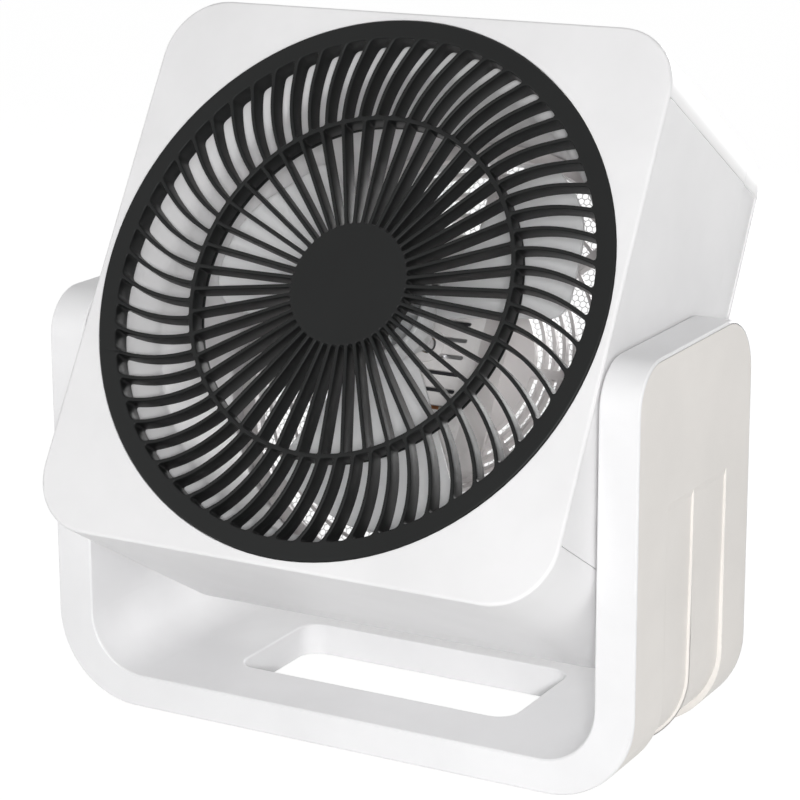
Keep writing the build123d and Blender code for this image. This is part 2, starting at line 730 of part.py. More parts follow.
def front_grille():
    """Grille in one piece: flat rim, curved vanes, middle ring, straight spokes and hub."""
    vane_gap, spoke_gap = outer_gap(), inner_gap()
    gaps = [Rot(Z=360 / vane_count * k) * vane_gap for k in range(vane_count)]
    gaps += [Rot(Z=360 / spoke_count * k) * spoke_gap for k in range(spoke_count)]
    net = Face(Circle(skirt_r).face().outer_wire(), [gap.face().outer_wire() for gap in gaps])
    grille = along_y(net, fin_back, fin_back + fin_depth)
    rim = ring_y(rim_r, rim_inner_r, -rim_proud, rim_t - rim_proud)
    grille += chamfer(rim.edges().filter_by(GeomType.CIRCLE).group_by(Axis.Y)[0], rim_edge)
    grille += ring_y(ring_r - ring_step, ring_r - ring_t + ring_step,
                     fin_back + fin_depth - bite, fin_back + ring_depth)
    for turn in range(hook_count):
        grille += Rot(Y=360 / hook_count * turn) * hook(0.0, skirt_r - skirt_t, mouth_r + hook_reach)
    return grille - disc_y(hub_r - hub_wall, fin_back + hub_wall, fin_back + fin_depth + eps)


# ---- impeller --------------------------------------------------------------------------
def blade_section(radius):
    """Thin cambered section of a blade, square to the radius and flatter towards the tip."""
    half = radius * math.tan(math.radians(blade_span_deg / 2)) + blade_t * 3
    share = radius / blade_r
    lead = blade_near + blade_depth + (blade_tip_depth - blade_depth) * share
    middle = (blade_near + lead + blade_camber * (1 - share / 2)) / 2
    near, rear = (blade_near, -half), (lead, half)
    near_back, rear_back = (blade_near + blade_t / 2, -half), (lead + blade_t / 2, half)
    outline = make_face(Wire([
        ThreePointArc(near, (middle, 0), rear),
        Line(rear, rear_back),
        ThreePointArc(rear_back, (middle + blade_t, 0), near_back),
        Line(near_back, near),
    ]))
    return Plane((radius, 0, 0), x_dir=(0, 1, 0), z_dir=(1, 0, 0)) * outline


def blade_outline():
    """Blade seen from the front, about the X axis: a sector with a straight cut at its trailing tip."""
    half = blade_span_deg / 2
    corner, high = polar(blade_reach, -half), polar(2 * blade_r, half)
    along = polar(blade_reach, 90 - half)
    beyond = (corner[0] + along[0], corner[1] + along[1])
    outline = make_face(Polyline((0, 0), corner, beyond, high, close=True)) & Circle(blade_r)
    outline = fillet(outline.vertices().sort_by(Axis.X)[-1], blade_shoulder_r)
    outline = fillet(outline.vertices().sort_by(Axis.Y)[0], blade_trail_r)
    return fillet(outline.vertices().sort_by(Axis.Y)[-1], blade_lead_r)


def blade():
    """One blade about the X axis."""
    root = fan_boss_r - blade_root_in
    stations = [root + (blade_r + eps - root) * k / 3 for k in range(4)]
    return loft([blade_section(r) for r in stations]) & along_y(blade_outline(), 0, head_d)


def bowl(radius, boss, front, back):
    """Body of revolution: a straight rim, then a round taper down to the boss."""
    rim_end = fan_hub_front + fan_rim_l
    taper_end = rim_end + fan_bowl_l
    bulge = ((radius + boss) / 2 + fan_bowl_swell, (rim_end + taper_end) / 2)
    outline = make_face(Wire([
        ThreePointArc((radius, rim_end), bulge, (boss, taper_end)),
        Line((boss, taper_end), (boss, back)), Line((boss, back), (0, back)),
        Line((0, back), (0, front)), Line((0, front), (radius, front)),
        Line((radius, front), (radius, rim_end)),
    ]))
    return revolve(outline, Axis.Y)


def impeller():
    """Broad blades on a bowl that is open to the front, with a ribbed boss for the shaft."""
    wheel = bowl(fan_hub_r, fan_boss_r, fan_hub_front, fan_hub_back)
    one = blade()
    for k in range(blade_count):
        wheel += Rot(Y=-(blade_phase_deg + 360 / blade_count * k)) * one
    taper_end = fan_hub_front + fan_rim_l + fan_bowl_l
    boss_front = fan_hub_front + nut_seat
    wide, narrow = fan_hub_r - fan_hub_wall, fan_boss_r - fan_hub_wall
    hollow = bowl(wide, narrow, fan_hub_front - eps, taper_end + bite)
    hollow -= disc_y(fan_boss_r, boss_front, fan_hub_back)
    for k in range(fan_rib_count):
        rib = box(fan_boss_r - bite, fan_hub_r, boss_front, taper_end, -rib_t / 2, rib_t / 2)
        hollow -= Rot(Y=360 / fan_rib_count * k) * rib
    wheel -= hollow
    return wheel - disc_y(shaft_r + fit_gap, 0, head_d)


def fan_shaft():
    return disc_y(shaft_r, fan_hub_front + nut_seat - nut_t + fit_gap, shaft_end)


def impeller_nut():
    back = fan_hub_front + nut_seat - fit_gap
    return along_y(RegularPolygon(nut_r, 6) - Circle(shaft_r + fit_gap), back - nut_t, back)


def rotor():
    core = disc_y(rotor_r, core_front, core_back)
    core += disc_y(rotor_r - rotor_ring_t, core_front - rotor_ring_t, core_back + rotor_ring_t)
    return core - disc_y(shaft_r + fit_gap, 0, head_d)


# ---- motor -----------------------------------------------------------------------------
def pod_block(inset):
    """Motor housing block that widens towards the back."""
    outline = RectangleRounded(pod_w - 2 * inset, pod_h - 2 * inset, pod_corner_r - inset)
    plane = Plane((0, pod_front, 0), x_dir=(1, 0, 0), z_dir=(0, -1, 0))
    return extrude(plane * outline, amount=-pod_d, taper=-pod_draft_deg)


def motor_housing():
    """Housing in front of the motor, with a stack of vent slots in its flat front."""
    block = pod_block(0.0)
    shell = chamfer(block.faces().sort_by(Axis.Y)[0].edges(), pod_edge)
    shell -= pod_block(pod_wall) - disc_y(far, 0, pod_front + pod_wall)
    slots = Sketch() + [
        Pos(0, (k - (slot_count - 1) / 2) * slot_pitch) * SlotOverall(slot_w, slot_h)
        for k in range(slot_count)
    ]
    shell -= along_y(slots - Circle(pod_collar_r), pod_front - eps, pod_front + pod_wall + eps)
    shell += disc_y(pod_collar_r, pod_front - pod_collar_l, pod_front + pod_wall)
    places = corners(pod_screw_x, pod_screw_z)
    shell += studs(places, pod_post_r, pod_front + pod_wall - bite, guard_front)
    shell = bore(shell, places, screw_r + fit_gap, guard_front - post_bore, guard_front + eps)
    return shell - disc_y(shaft_r + 2 * seam, 0, head_d)


def motor_core():
    """Laminated core with the rotor's bore, the coil's window and its limb."""
    height = core_top - core_bottom
    window = core_bottom + core_limb + coil_window / 2
    outline = Pos(0, core_top - height / 2) * Rectangle(core_w, height)
    outline -= Circle(rotor_r + air_gap)
    outline -= Pos(0, window) * Rectangle(coil_w + core_bolt_in, coil_window)
    return along_y(outline, core_front, core_back)


def coil_ring(thickness, width, gap):
    """Rounded square tube round the core's lower limb."""
    inner = Rectangle(core_t + 2 * gap, core_limb + 2 * gap)
    grown = 2 * (gap + thickness)
    outer = RectangleRounded(core_t + grown, core_limb + grown, thickness * 0.9)
    middle = Pos((core_front + core_back) / 2, core_bottom + core_limb / 2)
    return along_x(middle * (outer - inner), -width / 2, width / 2)


def coil_bobbin():
    flange = Pos(coil_w / 2 - bobbin_t / 2, 0, 0) * coil_ring(coil_build + bobbin_t, bobbin_t, seat_gap)
    return coil_ring(bobbin_t, coil_w, seat_gap) + pair(flange)


def motor_coil():
    return coil_ring(coil_build, coil_w - 2 * bobbin_t - 2 * seat_gap, bobbin_t + 2 * seat_gap)


def bearing_bridge(bar, feet, boss):
    """Cast bridge across the core; each argument is a pair of depths, front and back."""
    bridge = along_y(Rectangle(core_w, bridge_h), *bar)
    bridge += studs([(-core_bolt_x, 0), (core_bolt_x, 0)], core_bolt_in - eps, *feet)
    bridge += disc_y(bearing_r + bearing_wall, *boss)
    return bridge - disc_y(bearing_r, 0, head_d)


def bridge_front():
    back = core_front - bridge_gap
    bar = (back - bridge_t, back)
    return bearing_bridge(bar, (back - bite, core_front - fit_gap), (pod_front + pod_wall + seat_gap, back))


def bridge_rear():
    front = core_back + bridge_gap
    bar = (front, front + bridge_t)
    return bearing_bridge(bar, (core_back + fit_gap, front + bite), (front, rear_boss_end))


def motor_bearings():
    one = ring_y(bearing_r - fit_gap, shaft_r + running_gap, 0, bearing_l)
    front, rear = core_front - bridge_gap - bearing_l, core_back + bridge_gap
    return group(Pos(0, front, 0) * one, Pos(0, rear, 0) * one)


# ---- rear guard and controls -----------------------------------------------------------
def guard_rings():
    """Radii of the guard's rings, closer together near the middle."""
    radii = [guard_hub_r + guard_pitch * k for k in range(1, guard_near_count + 1)]
    radii += [radii[-1] + guard_wide_pitch * k for k in range(1, guard_wide_count + 1)]
    return [r for r in radii if r + guard_ring_t < guard_flange_r]


def rear_guard():
    """Rings and spokes behind the impeller, with the plate that carries the motor."""
    net = Circle(guard_r) - Circle(guard_flange_r)
    for r in guard_rings():
        net += Circle(r + guard_ring_t / 2) - Circle(r - guard_ring_t / 2)
    reach = guard_flange_r + bite - guard_hub_r / 2
    spoke = Pos(guard_hub_r / 2, 0) * Rectangle(reach, guard_spoke_t, align=(Align.MIN, Align.CENTER))
    net += [Rot(Z=360 / guard_spokes * k) * spoke for k in range(guard_spokes)]
    margin = 2 * (pod_flare + guard_plate_margin)
    net += RectangleRounded(pod_w + margin, pod_h + margin, pod_corner_r + guard_plate_margin)
    net += Circle(guard_hub_r)
    guard = along_y(net, guard_front + seat_gap, guard_back)
    screw_places = corners(pod_screw_x, pod_screw_z) + guard_screw_places()
    guard = bore(guard, screw_places, screw_r + screw_gap, guard_front, guard_back + eps)
    return guard - disc_y(bearing_r + bearing_wall + seam, 0, guard_back - guard_floor)


def guard_screws():
    return group(*[
        Pos(x, guard_front + seat_gap - fit_gap, z) * Rot(X=90) * screw(screw_bite)
        for x, z in guard_screw_places()
    ])


def motor_screws():
    return screws_forward(corners(pod_screw_x, pod_screw_z), guard_back + fit_gap, guard_t + screw_bite)


def speed_knob():
    """Fluted rotary knob with a pointer ridge and its shaft."""
    y0 = head_d + knob_gap
    y1 = y0 + knob_h
    knob = disc_y(knob_r, y0, y1)
    knob = chamfer(knob.edges().group_by(Axis.Y)[-1], knob_edge)
    flutes = [polar(knob_r + knob_flute_r / 2, 360 / knob_flutes * (k + 0.5)) for k in range(knob_flutes)]
    knob = bore(knob, flutes, knob_flute_r, y0 + knob_flute_r, y1 + eps)
    ridge = knob_ridge_t / 2
    knob += box(-ridge, ridge, y1 - bite, y1 + ridge, 0, knob_r - knob_flute_r)
    knob += disc_y(knob_shaft_r, rear_in - switch_d, y0 + bite)
    return Pos(control_x, 0, control_z) * knob


def rotary_switch():
    """Switch body behind the rear cover, with its neck and terminal lugs."""
    back = rear_in - seat_gap
    front = back - switch_d
    case = along_y(Rectangle(switch_size, switch_size), front, back)
    case += disc_y(switch_neck_r, front - switch_neck_l, front + bite)
    for k in (-1, 0, 1):
        x = k * switch_size / 3 - lug_w / 2
        lug_z = switch_size / 3
        case += box(x, x + lug_w, front - lug_l, front + bite, lug_z, lug_z + rib_t / 2)
    case -= disc_y(knob_shaft_r + running_gap, front - seam, head_d)
    return Pos(control_x, 0, control_z) * case


def power_inlet():
    """Inlet for a detachable lead: a well with two pins, flanged behind the rear cover."""
    back = head_d - seam
    front = back - inlet_d
    seat = rear_in - seat_gap
    body = along_y(RectangleRounded(inlet_w, inlet_h, inlet_h / 2 - fit_gap), front, back)
    body += along_y(
        Rectangle(inlet_w + 2 * inlet_flange, inlet_h + 2 * inlet_flange), seat - inlet_wall, seat
    )
    well_w, well_h = inlet_w - 2 * inlet_wall, inlet_h - 2 * inlet_wall
    body -= along_y(RectangleRounded(well_w, well_h, well_h / 2 - fit_gap), back - inlet_well, back + eps)
    pins = [(-inlet_pin_pitch / 2, 0), (inlet_pin_pitch / 2, 0)]
    body += studs(pins, inlet_pin_r, front - lug_l, back - inlet_wall)
    return Pos(-control_x, 0, control_z) * body


# ---- assembly --------------------------------------------------------------------------
def stand_nodes():
    pivot = Pos(0, pivot_y, pivot_z)
    pin = pivot * pivot_pin()
    washer = pivot * friction_washer()
    ring = pivot * retaining_ring()
    return {
        "stand_frame": stand_frame(),
        "stand_cover": stand_cover(),
        "rubber_feet": rubber_feet(),
        "base_screws": base_screws(),
        "pivot_pin_right": pin,
        "pivot_pin_left": mirrored(pin),
        "friction_washers": group(washer, mirrored(washer)),
        "retaining_rings": group(ring, mirrored(ring)),
    }


def head_nodes():
    panel = side_panel()
    bush = Pos(0, pivot_depth, 0) * pivot_bush()
    return {
        "front_housing": front_housing(),
        "rear_cover": rear_cover(),
        "side_panel_right": panel,
        "side_panel_left": mirrored(panel),
        "pivot_bushes": group(bush, mirrored(bush)),
        "front_grille": front_grille(),
        "impeller": impeller(),
        "impeller_nut": impeller_nut(),
        "fan_shaft": fan_shaft(),
        "rotor": rotor(),
        "motor_housing": motor_housing(),
        "motor_core": motor_core(),
        "coil_bobbin": coil_bobbin(),
        "motor_coil": motor_coil(),
        "bearing_bridge_front": bridge_front(),
        "bearing_bridge_rear": bridge_rear(),
        "motor_bearings": motor_bearings(),
        "rear_guard": rear_guard(),
        "speed_knob": speed_knob(),
        "rotary_switch": rotary_switch(),
        "power_inlet": power_inlet(),
        "rear_screws": rear_screws(),
        "guard_screws": guard_screws(),
        "motor_screws": motor_screws(),
    }


def main():
    os.makedirs("parts", exist_ok=True)
    leaned = Pos(0, pivot_y, pivot_z) * Rot(X=-head_tilt) * Pos(0, -pivot_depth, 0)
    nodes = {name: list(part.solids()) for name, part in stand_nodes().items()}
    for name, part in head_nodes().items():
        nodes[name] = [leaned * s for s in part.solids()]
    boxes = [s.bounding_box() for solids in nodes.values() for s in solids]
    middle = (min(b.min.Y for b in boxes) + max(b.max.Y for b in boxes)) / 2
    for name, solids in nodes.items():
        settled = [Pos(0, -middle, foot_proud) * s for s in solids]
        export_step(settled[0] if len(settled) == 1 else Compound(settled), f"parts/{name}.step")
    print("tilt axis y", round(pivot_y - middle, 3), "z", round(pivot_z + foot_proud, 3))
    print("blade tips", round(blade_r, 2), "duct", round(duct_r, 2), "pivot height", round(pivot_z, 2))


main()
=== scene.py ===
import json
import math

import bmesh
import bpy
from mathutils import Matrix, Vector


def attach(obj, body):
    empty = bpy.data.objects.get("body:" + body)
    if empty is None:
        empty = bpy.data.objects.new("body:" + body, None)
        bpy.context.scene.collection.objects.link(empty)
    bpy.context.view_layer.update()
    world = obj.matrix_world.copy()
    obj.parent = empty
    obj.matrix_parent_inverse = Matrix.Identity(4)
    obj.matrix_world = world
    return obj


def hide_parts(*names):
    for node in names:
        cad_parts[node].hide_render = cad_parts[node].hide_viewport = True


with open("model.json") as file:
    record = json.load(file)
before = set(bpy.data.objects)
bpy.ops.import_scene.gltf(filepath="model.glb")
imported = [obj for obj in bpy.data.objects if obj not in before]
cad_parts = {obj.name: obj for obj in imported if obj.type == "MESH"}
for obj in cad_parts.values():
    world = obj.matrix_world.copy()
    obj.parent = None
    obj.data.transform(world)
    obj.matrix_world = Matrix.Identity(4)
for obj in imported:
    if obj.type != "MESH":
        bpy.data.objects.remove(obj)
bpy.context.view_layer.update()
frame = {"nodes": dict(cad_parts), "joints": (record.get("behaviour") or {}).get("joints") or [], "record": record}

MM = 0.001
FULL_TURN = 2 * math.pi
ORIGIN = Vector((0, 0))

# ---- camera ---------------------------------------------------------------------------
FRAME_PX = 800
FOCAL_PX = 2651.8
PRINCIPAL_PX = (435.4, 340.1)    # where the lens axis meets the picture
SENSOR_MM = 36.0
CLIP_START = 0.05
CAMERA_FROM_PIVOT = Vector((0.6368, -1.1532, 0.3230))
CAMERA_YAW = math.radians(28.47)      # to the right of the front
CAMERA_PITCH = math.radians(13.88)    # down

# ---- head, drawn in its own frame: X across, Y depth behind the face, Z up -------------
joints = {joint["name"]: joint for joint in frame["joints"]}
PIVOT = Vector(joints["head_tilt"]["pos_m"])
FORWARD = Vector(joints["impeller_spin"]["axis"])
TILT = math.atan2(FORWARD.z, -FORWARD.y)
PIVOT_DEPTH = 80.0 * MM
HEAD = (
    Matrix.Translation(PIVOT) @ Matrix.Rotation(-TILT, 4, "X")
    @ Matrix.Translation((0, -PIVOT_DEPTH, 0))
)

# ---- grille ---------------------------------------------------------------------------
RIM_R = 139.2 * MM
RIM_W = 9.7 * MM
RIM_FRONT = -0.8 * MM
RIM_T = 3.6 * MM
RIM_ROUND = 0.9 * MM             # rounding of the rim's outer front edge
SKIRT_T = 2.0 * MM
FIN_DEPTH = 10.0 * MM
FIN_T = 2.0 * MM
FIN_FRONT = 0.4 * MM
FIN_BACK = FIN_FRONT + FIN_DEPTH
FIN_RISE = 9.0 * MM              # the fins climb to the rim over this length
FIN_ROUND = 0.7 * MM             # rounding of the fins' front edges
FIN_DRAFT = 0.1 * MM             # the fins widen by this on each side towards the back
FIN_BACK_EDGE = 0.4 * MM         # length of the bevel at the fins' back
FIN_BACK_BEVEL = 0.2 * MM        # depth of that bevel into each side
RING_R = 88.3 * MM
RING_T = 2.4 * MM
RING_DEPTH = 13.0 * MM
RING_INSET = 0.2 * MM            # step on each side where the ring goes on behind the fins
RING_ROUND = 0.4 * MM            # rounding of the ring's back edges
RING_SINK = 0.3 * MM             # the ring's back part starts this far inside the fins
ROUND_CORNER = 0.3               # middle of a rounding, as a share of its radius off the corner
HUB_R = 31.6 * MM
HUB_WALL = 2.0 * MM
SPOKES = 45
SPOKE_GAP_CUTS = (1.0 * MM, 0.9 * MM, 0.9 * MM, 1.0 * MM)    # corners, two of them at the ring
VANES = 60
VANE_BEND_R = 80.0 * MM
VANE_START = math.radians(6.0)
VANE_GAP_CUTS = (1.3 * MM, 2.6 * MM, 2.2 * MM, 1.3 * MM)     # corners, the middle two at the rim
HOOKS = 6
HOOK_W = 10.0 * MM
HOOK_L = 2.0 * MM
HOOK_REACH = 3.3 * MM
HOOK_SINK = 0.5 * MM             # a hook starts this far inside the skirt

# ---- points along the grille's curves ---------------------------------------------------
CORNER_STEPS = 4
ROUND_STEPS = 4
VANE_STEPS = 12
VANE_RIM_STEPS = 6
VANE_RING_STEPS = 4
SPOKE_RING_STEPS = 6
SPOKE_HUB_STEPS = 2
RIM_POINTS = 240
RING_POINTS = 180
POCKET_POINTS = 72

# ---- screen behind the rear guard -------------------------------------------------------
SCREEN_R = 117.0 * MM
SCREEN_Y = 128.6 * MM
SCREEN_PITCH = 3.4 * MM
SCREEN_WIRE = 0.42 * MM
WIRE_OVERLAP = 0.3               # a wire runs past its corners by this share of its half width
SCREEN_KEYS = 20                 # corners nearer than a hexagon's side over this are the same

# ---- surfaces ---------------------------------------------------------------------------
PATCH_SCALE = 14.0               # unevenness in colour and gloss
PATCH_DETAIL = 4.0
PATCH_COLOUR = (0.35, 0.65)      # part of the noise over which the colour changes
PATCH_GLOSS = (0.3, 0.7)         # the same for the gloss, and for the colour of the floor
GRAIN_DETAIL = 2.0
GRAIN_HEIGHT = 0.05 * MM
NOISE_ROUGHNESS = 0.55
EDGE_SAMPLES = 4
EDGE_FACING = 0.75               # cosine of the turn at which an edge counts as fully rubbed
RUB_GAIN = 1.12                  # rubbed edges are paler by this factor
RUB_LIFT = 0.01
GLOSS_LOW, GLOSS_HIGH = 0.92, 1.08
GLOW_DEPTH = 5 * MM
COLOUR_A, COLOUR_B, COLOUR_OUT = 6, 7, 2    # sockets of a mix node that mixes colours

# ---- stage ------------------------------------------------------------------------------
FLOOR_HALF = 6.0
FLOOR_SCALE = 6.0
FLOOR_PALE, FLOOR_DARK = (0.90, 0.90, 0.90), (0.87, 0.87, 0.87)
FLOOR_ROUGHNESS = 0.9
FLOOR_GLOW = 1.16
FLOOR_SEEN = 0.8                 # share of that glow in what the camera sees of the floor
WORLD_LIGHT = 0.32
LAMP_TARGET = Vector((0.0, 0.0, 0.18))
LAMPS = (                        # name, place, side in metres, watts
    ("key", (0.939, -1.654, 0.652), 0.2, 21.5),
    ("left", (-1.5, -1.7, 0.7), 1.2, 6.0),
    ("fill", (2.4, -0.4, 0.5), 1.4, 5.0),
    ("rear", (0.1, 1.5, 0.30), 0.6, 11.0),
)


# ---- materials ------------------------------------------------------------------------
def node_tree(name):
    material = bpy.data.materials.new(name)
    material.use_nodes = True
    tree = material.node_tree
    return material, tree.nodes, tree.links


def set_inputs(node, **values):
    for key, value in values.items():
        node.inputs[key.replace("_", " ")].default_value = value


def mixed_colour(nodes, links, factor, first, second):
    """Colour that goes from first to second as factor goes from 0 to 1."""
    mix = nodes.new("ShaderNodeMix")
    mix.data_type = "RGBA"
    links.new(factor, mix.inputs["Factor"])
    for socket, value in ((mix.inputs[COLOUR_A], first), (mix.inputs[COLOUR_B], second)):
        if isinstance(value, bpy.types.NodeSocket):
            links.new(value, socket)
        else:
            socket.default_value = (*value, 1.0)
    return mix.outputs[COLOUR_OUT]


def ranged(nodes, links, value, low, high, new_low=0.0, new_high=1.0):
    """Value mapped from low..high to new_low..new_high, and held there."""
    node = nodes.new("ShaderNodeMapRange")
    links.new(value, node.inputs["Value"])
    set_inputs(node, From_Min=low, From_Max=high, To_Min=new_low, To_Max=new_high)
    return node.outputs["Result"]


def noise(nodes, links, vector, scale, detail):
    node = nodes.new("ShaderNodeTexNoise")
    links.new(vector, node.inputs["Vector"])
    set_inputs(node, Scale=scale, Detail=detail, Roughness=NOISE_ROUGHNESS)
    return node.outputs["Fac"]


def plastic(
    name, colour, roughness=0.42, tone=0.03, grain=0.12, grain_mm=0.45, edge_mm=0.45, wear=0.25,
    worn=None, metallic=0.0, specular=0.5, glow=0.0,
):
    """Moulded surface: fine grain, faint unevenness in colour and gloss, and soft, rubbed edges."""
    material, nodes, links = node_tree(name)
    shader = nodes["Principled BSDF"]
    place = nodes.new("ShaderNodeTexCoord").outputs["Object"]
    broad = noise(nodes, links, place, PATCH_SCALE, PATCH_DETAIL)
    fine = noise(nodes, links, place, 1.0 / (grain_mm * MM), GRAIN_DETAIL)
    bevel = nodes.new("ShaderNodeBevel")
    bevel.samples = EDGE_SAMPLES
    set_inputs(bevel, Radius=edge_mm * MM)
    facing = nodes.new("ShaderNodeVectorMath")
    facing.operation = "DOT_PRODUCT"
    links.new(bevel.outputs["Normal"], facing.inputs[0])
    links.new(nodes.new("ShaderNodeNewGeometry").outputs["Normal"], facing.inputs[1])
    edge = ranged(nodes, links, facing.outputs["Value"], 1.0, EDGE_FACING, 0.0, wear)
    dark = tuple(c * (1.0 - tone) for c in colour)
    pale = tuple(min(1.0, c * (1.0 + tone)) for c in colour)
    body = mixed_colour(nodes, links, ranged(nodes, links, broad, *PATCH_COLOUR), dark, pale)
    rubbed = worn or tuple(min(1.0, c * RUB_GAIN + RUB_LIFT) for c in colour)
    links.new(mixed_colour(nodes, links, edge, body, rubbed), shader.inputs["Base Color"])
    shine = (roughness * GLOSS_LOW, roughness * GLOSS_HIGH)
    gloss = ranged(nodes, links, broad, *PATCH_GLOSS, *shine)
    links.new(gloss, shader.inputs["Roughness"])
    bump = nodes.new("ShaderNodeBump")
    set_inputs(bump, Strength=grain, Distance=GRAIN_HEIGHT)
    links.new(fine, bump.inputs["Height"])
    links.new(bevel.outputs["Normal"], bump.inputs["Normal"])
    links.new(bump.outputs["Normal"], shader.inputs["Normal"])
    set_inputs(shader, Metallic=metallic, Specular_IOR_Level=specular)
    if glow:
        set_inputs(shader, Subsurface_Weight=glow, Subsurface_Radius=(1, 1, 1))
        set_inputs(shader, Subsurface_Scale=GLOW_DEPTH)
    return material


def all_materials():
    """One material for each slot of the record, and one for the screen behind the guard."""
    looks = {
        "white_gloss": dict(
            colour=(0.83, 0.825, 0.83), roughness=0.40, grain=0.06, specular=0.35),
        "stand_white": dict(
            colour=(0.84, 0.838, 0.845), roughness=0.38, grain=0.05, specular=0.35),
        "cover_grey": dict(
            colour=(0.835, 0.805, 0.77), roughness=0.50, grain=0.15, specular=0.35),
        "grille_black": dict(
            colour=(0.009, 0.0095, 0.0095), tone=0.10, grain=0.10, wear=0.35,
            worn=(0.03, 0.03, 0.03), specular=0.18),
        "fan_white": dict(colour=(0.88, 0.89, 0.90), roughness=0.30, grain=0.05, glow=0.9),
        # pod_white and guard_white are the white plastic tinted pink: the pink cast is painted light, the tint of
        # coloured light falling on the parts at the back of the head
        "pod_white": dict(colour=(0.82, 0.80, 0.79)),
        "guard_white": dict(colour=(0.80, 0.765, 0.76)),
        "screen_white": dict(colour=(0.86, 0.86, 0.86), roughness=0.5, edge_mm=0.1),
        "control_grey": dict(colour=(0.62, 0.62, 0.62), roughness=0.5),
        "black_plastic": dict(colour=(0.02, 0.02, 0.02), roughness=0.5, tone=0.1),
        "steel": dict(
            colour=(0.62, 0.62, 0.63), roughness=0.28, metallic=1.0, grain=0.2, grain_mm=0.2),
        "nylon": dict(colour=(0.74, 0.72, 0.66), roughness=0.5),
        "rubber": dict(colour=(0.045, 0.045, 0.045), roughness=0.75, tone=0.12, grain=0.4),
        "lamination": dict(colour=(0.10, 0.10, 0.11), roughness=0.4, metallic=0.6),
        "copper": dict(
            colour=(0.60, 0.26, 0.12), roughness=0.35, metallic=0.8, grain=0.5, grain_mm=0.35),
        "bobbin": dict(colour=(0.70, 0.66, 0.55), roughness=0.5),
        "alloy": dict(colour=(0.62, 0.62, 0.63), roughness=0.45, metallic=0.9, grain=0.4),
        "bronze": dict(colour=(0.55, 0.40, 0.22), roughness=0.4, metallic=0.9),
    }
    return {name: plastic(name, **look) for name, look in looks.items()}


def dress_frame(materials):
    """Gives every CAD node the material of its slot in the record."""
    for part in frame["record"]["subparts"]:
        node = frame["nodes"][part["node"]]
        node.data.materials.clear()
        node.data.materials.append(materials[part["material_slot"]])


# ---- pieces ---------------------------------------------------------------------------
def add_piece(name, bm, body, material, smooth, replaced=()):
    """Turns what was drawn in the head's frame into a piece that rides a body in a slot."""
    bmesh.ops.recalc_face_normals(bm, faces=bm.faces)
    mesh = bpy.data.meshes.new(name)
    bm.to_mesh(mesh)
    bm.free()
    mesh.transform(HEAD)
    mesh.materials.append(material)
    for polygon in mesh.polygons:
        polygon.use_smooth = smooth
    piece = bpy.data.objects.new(name, mesh)
    bpy.context.scene.collection.objects.link(piece)
    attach(piece, body)
    if replaced:
        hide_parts(*replaced)


def polar(radius, angle):
    return Vector((radius * math.cos(angle), radius * math.sin(angle)))


def turned(point, angle):
    return Matrix.Rotation(angle, 2) @ point


def circle_meet(centre, radius, r):
    """Point where a circle about centre meets the circle of radius r about the origin."""
    d = centre.length
    along = (d * d + r * r - radius * radius) / (2 * d)
    across = math.sqrt(r * r - along * along)
    x = along * centre.x - across * centre.y
    y = along * centre.y + across * centre.x
    return Vector((x, y)) / d


def arc(centre, start, end, steps):
    """Points of the short arc from start to end about centre, both ends included."""
    first = start - centre
    swing = math.atan2(first.cross(end - centre), first.dot(end - centre))
    return [centre + turned(first, swing * k / steps) for k in range(steps + 1)]


def shortened(points, cut_start, cut_end):
    """A line of points with a length cut off each end."""
    for cut, at in ((cut_start, 0), (cut_end, -1)):
        step = 1 if at == 0 else -1
        while cut > 0:
            gap = points[at + step] - points[at]
            if gap.length > cut:
                points[at] = points[at] + gap.normalized() * cut
                cut = 0
            else:
                cut -= gap.length
                points.pop(at)
    return points


def rounded_loop(sides, cuts):
    """Closed loop of sides, each corner replaced by a curve that starts a cut away from it."""
    count = len(sides)
    corner = [side[0].copy() for side in sides]
    kept = [
        shortened(list(side), cuts[k], cuts[(k + 1) % count]) for k, side in enumerate(sides)
    ]
    loop = []
    for k, side in enumerate(kept):
        before, after = kept[k - 1][-1], side[0]
        for step in range(1, CORNER_STEPS):
            t = step / CORNER_STEPS
            loop.append(before * (1 - t) ** 2 + corner[k] * 2 * t * (1 - t) + after * t * t)
        loop.extend(side)
    return loop


def vane_gap():
    """Outline of the gap between two vanes, counter-clockwise."""
    pitch = FULL_TURN / VANES
    inner, outer = RING_R, RIM_R - RIM_W
    centre = Vector((RING_R - RING_T / 2, 0)) + polar(VANE_BEND_R, -VANE_START - math.pi / 2)
    a = circle_meet(centre, VANE_BEND_R + FIN_T / 2, inner)
    b = circle_meet(centre, VANE_BEND_R + FIN_T / 2, outer)
    c = turned(circle_meet(centre, VANE_BEND_R - FIN_T / 2, outer), pitch)
    d = turned(circle_meet(centre, VANE_BEND_R - FIN_T / 2, inner), pitch)
    sides = [
        arc(centre, a, b, VANE_STEPS),
        arc(ORIGIN, b, c, VANE_RIM_STEPS),
        arc(turned(centre, pitch), c, d, VANE_STEPS),
        arc(ORIGIN, d, a, VANE_RING_STEPS),
    ]
    return rounded_loop(sides, VANE_GAP_CUTS)


def spoke_gap():
    """Outline of the gap between two spokes, counter-clockwise."""
    half = math.pi / SPOKES
    inner, outer = HUB_R, RING_R - RING_T
    near = turned(Vector((math.sqrt(inner ** 2 - FIN_T ** 2 / 4), -FIN_T / 2)), half)
    far = turned(Vector((math.sqrt(outer ** 2 - FIN_T ** 2 / 4), -FIN_T / 2)), half)
    low_near, low_far = Vector((near.x, -near.y)), Vector((far.x, -far.y))
    sides = [
        [low_near, low_far],
        arc(ORIGIN, low_far, far, SPOKE_RING_STEPS),
        [far, near],
        arc(ORIGIN, near, low_near, SPOKE_HUB_STEPS),
    ]
    return rounded_loop(sides, SPOKE_GAP_CUTS)


def copies(loop, count):
    """A loop repeated round the grille's axis."""
    return [[turned(point, FULL_TURN / count * k) for point in loop] for k in range(count)]


